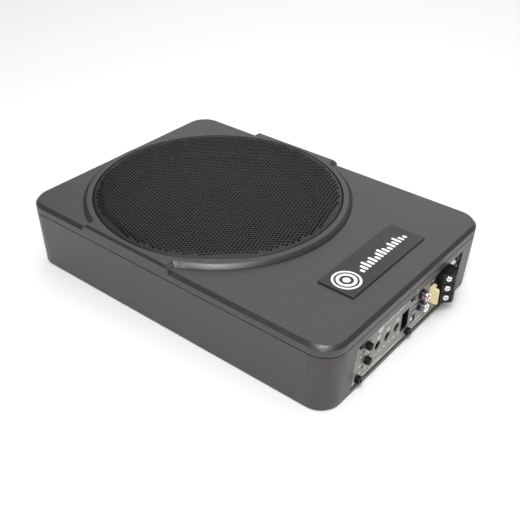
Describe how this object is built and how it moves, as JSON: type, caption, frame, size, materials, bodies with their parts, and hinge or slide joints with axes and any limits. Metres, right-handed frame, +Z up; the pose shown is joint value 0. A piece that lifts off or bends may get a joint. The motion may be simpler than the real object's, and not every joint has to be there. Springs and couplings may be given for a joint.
{
  "type": "powered car subwoofer",
  "caption": "Shallow under-seat subwoofer: cast box and bevelled cover, round perforated grille on a raised pad, and an end panel with amplifier controls, sockets and screw terminals.",
  "frame": {"origin": "centre of the flat underside of the box, which it stands on; the connectors stand out past the +X end", "axes": "+Z up; +X towards the connector end, along the length; -Y and +Y are the long sides"},
  "size_m": [0.3603, 0.25, 0.075],
  "materials": {
    "cast_shell": "satin textured paint",
    "cover_paint": "fine textured paint",
    "seal_rubber": "matte",
    "black_steel": "satin black",
    "grille_steel": "satin black",
    "badge_metal": "brushed dark",
    "panel_plate": "brushed with printed legends",
    "basket_steel": "satin black",
    "cone_paper": "matte",
    "surround_rubber": "satin",
    "spider_cloth": "woven",
    "foam": "matte",
    "ferrite": "matte",
    "plated_steel": "zinc plated",
    "bright_steel": "bright",
    "black_plastic": "matte",
    "ivory_plastic": "satin",
    "red_plastic": "gloss",
    "white_plastic": "gloss",
    "tinned_brass": "bright",
    "copper": "enamelled",
    "board_laminate": "satin",
    "capacitor_sleeve": "gloss",
    "plain_aluminium": "machined",
    "lamp_lens": "clear smoked",
    "wire_sleeve": "matte",
    "tape": "matte"
  },
  "bodies": {
    "housing": {"lower_shell": "cast_shell", "top_cover": "cover_paint", "lid_gasket": "seal_rubber", "lid_screws": "black_steel", "grille": "grille_steel", "badge_tape": "tape", "badge_plate": "badge_metal", "woofer_basket": "basket_steel", "woofer_gasket": "foam", "woofer_screws": "black_steel", "surround": "surround_rubber", "spider": "spider_cloth", "top_plate": "plated_steel", "magnet": "ferrite", "pole_yoke": "plated_steel", "woofer_terminals": "tinned_brass", "speaker_leads": "wire_sleeve", "control_panel": "panel_plate", "panel_pan_screws": "black_steel", "panel_cap_screws": "black_steel", "gain_pot_body": "black_plastic", "crossover_pot_body": "black_plastic", "boost_pot_body": "black_plastic", "phase_switch_body": "black_plastic", "source_switch_body": "black_plastic", "range_switch_body": "black_plastic", "status_leds": "lamp_lens", "remote_jack_body": "black_plastic", "remote_jack_contacts": "tinned_brass", "rca_body": "black_plastic", "rca_shells": "bright_steel", "rca_insert_red": "red_plastic", "rca_insert_white": "white_plastic", "speaker_header": "ivory_plastic", "header_pins": "tinned_brass", "terminal_block": "black_plastic", "terminal_bars": "tinned_brass", "main_board": "board_laminate", "board_screws": "plated_steel", "capacitors": "capacitor_sleeve", "output_choke": "copper", "supply_transformer": "ferrite", "heatsink_bar": "plain_aluminium", "power_transistors": "black_plastic"},
    "cone_assembly": {"cone": "cone_paper", "dust_cap": "cone_paper", "voice_coil_former": "plain_aluminium", "voice_coil_winding": "copper"},
    "gain_shaft": {"gain_pot_shaft": "black_plastic"},
    "crossover_shaft": {"crossover_pot_shaft": "black_plastic"},
    "boost_shaft": {"boost_pot_shaft": "black_plastic"},
    "phase_slider": {"phase_switch_slider": "black_plastic"},
    "source_slider": {"source_switch_slider": "black_plastic"},
    "range_slider": {"range_switch_slider": "white_plastic"},
    "terminal_screw_1": {"terminal_screw_1": "bright_steel"},
    "terminal_clamp_1": {"terminal_clamp_1": "tinned_brass"},
    "terminal_screw_2": {"terminal_screw_2": "bright_steel"},
    "terminal_clamp_2": {"terminal_clamp_2": "tinned_brass"},
    "terminal_screw_3": {"terminal_screw_3": "bright_steel"},
    "terminal_clamp_3": {"terminal_clamp_3": "tinned_brass"}
  },
  "joints": [
    {"name": "cone_travel", "type": "slide", "parent": "housing", "child": "cone_assembly", "axis": [0, 0, 1], "range_m": [-0.005, 0.005], "stiffness_N_per_m": 2500, "deforming": ["surround", "spider"]},
    {"name": "gain_turn", "type": "hinge", "parent": "housing", "child": "gain_shaft", "pos_m": [0.164, -0.0495, 0.0262], "axis": [1, 0, 0], "range_deg": [-140, 140]},
    {"name": "crossover_turn", "type": "hinge", "parent": "housing", "child": "crossover_shaft", "pos_m": [0.164, -0.0345, 0.0262], "axis": [1, 0, 0], "range_deg": [-140, 140]},
    {"name": "boost_turn", "type": "hinge", "parent": "housing", "child": "boost_shaft", "pos_m": [0.164, -0.0195, 0.0262], "axis": [1, 0, 0], "range_deg": [-140, 140]},
    {"name": "phase_slide", "type": "slide", "parent": "housing", "child": "phase_slider", "axis": [0, 1, 0], "range_m": [0, 0.004]},
    {"name": "source_slide", "type": "slide", "parent": "housing", "child": "source_slider", "axis": [0, 1, 0], "range_m": [0, 0.004]},
    {"name": "range_slide", "type": "slide", "parent": "housing", "child": "range_slider", "axis": [0, 1, 0], "range_m": [0, 0.003]},
    {"name": "terminal_screw_1_turn", "type": "hinge", "parent": "housing", "child": "terminal_screw_1", "pos_m": [0.17994, 0.05266, 0.04133], "axis": [0.7071, -0.7071, 0], "range_deg": [-720, 0]},
    {"name": "terminal_clamp_1_lift", "type": "slide", "parent": "housing", "child": "terminal_clamp_1", "axis": [0.7071, -0.7071, 0], "range_m": [0, 0.0016]},
    {"name": "terminal_screw_2_turn", "type": "hinge", "parent": "housing", "child": "terminal_screw_2", "pos_m": [0.17994, 0.05266, 0.031], "axis": [0.7071, -0.7071, 0], "range_deg": [-720, 0]},
    {"name": "terminal_clamp_2_lift", "type": "slide", "parent": "housing", "child": "terminal_clamp_2", "axis": [0.7071, -0.7071, 0], "range_m": [0, 0.0016]},
    {"name": "terminal_screw_3_turn", "type": "hinge", "parent": "housing", "child": "terminal_screw_3", "pos_m": [0.17994, 0.05266, 0.02067], "axis": [0.7071, -0.7071, 0], "range_deg": [-720, 0]},
    {"name": "terminal_clamp_3_lift", "type": "slide", "parent": "housing", "child": "terminal_clamp_3", "axis": [0.7071, -0.7071, 0], "range_m": [0, 0.0016]}
  ],
  "couplings": [
    {"joint": "terminal_screw_1_turn", "follows": "terminal_clamp_1_lift", "rad_per_m": -7854},
    {"joint": "terminal_screw_2_turn", "follows": "terminal_clamp_2_lift", "rad_per_m": -7854},
    {"joint": "terminal_screw_3_turn", "follows": "terminal_clamp_3_lift", "rad_per_m": -7854}
  ]
}
